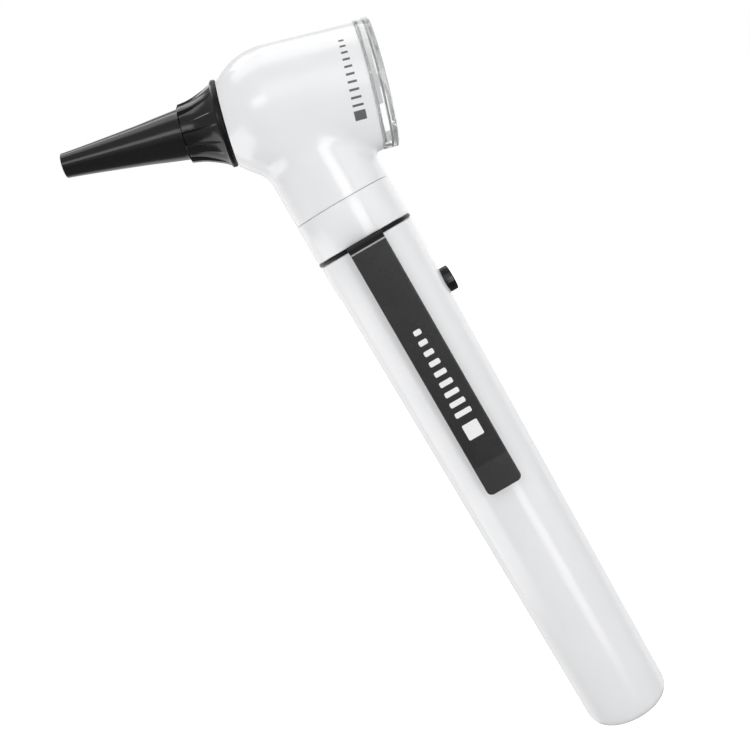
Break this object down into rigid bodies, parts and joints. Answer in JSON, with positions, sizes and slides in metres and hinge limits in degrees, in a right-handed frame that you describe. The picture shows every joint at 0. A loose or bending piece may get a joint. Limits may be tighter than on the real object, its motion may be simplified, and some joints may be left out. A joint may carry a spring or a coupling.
{
  "type": "pocket otoscope",
  "caption": "Pocket otoscope: tapered battery handle with pocket clip and slide switch, twist-off head with swivel magnifier, light ring and removable ear speculum.",
  "frame": {"origin": "middle of the flat end of the battery handle", "axes": "+Z along the handle towards the head; -X is the side the speculum points to, tipped up 15.3 degrees; the pocket clip is on -Y and the slide switch on +X"},
  "size_m": [0.0687, 0.0303, 0.1621],
  "materials": {
    "white_plastic": "satin-gloss moulded plastic",
    "black_plastic": "glossy black moulded plastic",
    "black_strap": "black satin coated spring steel",
    "nickel_steel": "nickel-plated steel",
    "brass": "brass",
    "dark_plastic": "matt black plastic",
    "rubber": "soft rubber",
    "cell_jacket": "dry cell in a plain printed jacket",
    "clear_acrylic": "polished clear acrylic",
    "lamp_glass": "clear glass envelope",
    "light_fibre": "bundled light fibres"
  },
  "bodies": {
    "handle": {"handle_tube": "white_plastic", "ground_strip": "brass", "battery_spring": "nickel_steel", "battery_lower": "cell_jacket", "battery_upper": "cell_jacket", "contact_rivet": "brass", "collar_insulator": "dark_plastic", "contact_spring": "nickel_steel", "collar": "white_plastic", "seal_ring": "rubber", "bayonet_pin_near": "nickel_steel", "bayonet_pin_far": "nickel_steel", "clip_ring": "black_plastic"},
    "clip": {"clip_arm": "black_strap"},
    "switch": {"switch_knob": "black_plastic", "switch_slider": "dark_plastic", "switch_contact": "brass"},
    "head": {"head_shell": "white_plastic", "bayonet_sleeve": "nickel_steel", "lamp_socket": "brass", "lamp_contact": "dark_plastic", "lamp_base": "nickel_steel", "lamp_glass": "lamp_glass", "nose_cone": "black_plastic", "light_ring": "light_fibre", "fibre_bundle": "light_fibre", "viewing_sleeve": "dark_plastic", "air_connector": "white_plastic", "pivot_pin": "nickel_steel"},
    "lens": {"lens_window": "clear_acrylic", "latch_pin": "nickel_steel"},
    "speculum": {"speculum": "black_plastic"}
  },
  "joints": [
    {"name": "clip_flex", "type": "hinge", "parent": "handle", "child": "clip", "pos_m": [-0.0004, -0.01195, 0.11615], "axis": [-1, 0, 0], "range_deg": [0, 8], "stiffness_Nm_per_rad": 0.6},
    {"name": "switch_slide", "type": "slide", "parent": "handle", "child": "switch", "axis": [0, 0, 1], "range_m": [0, 0.004]},
    {"name": "head_twist", "type": "hinge", "parent": "handle", "child": "head", "pos_m": [0, 0, 0.125], "axis": [0, 0, 1], "range_deg": [0, 35]},
    {"name": "lens_swivel", "type": "hinge", "parent": "head", "child": "lens", "pos_m": [0.02072, 0, 0.15293], "axis": [-0.9646, 0, 0.2639], "continuous": true},
    {"name": "speculum_pull", "type": "slide", "parent": "head", "child": "speculum", "axis": [-0.9646, 0, 0.2639], "range_m": [0, 0.02]}
  ]
}
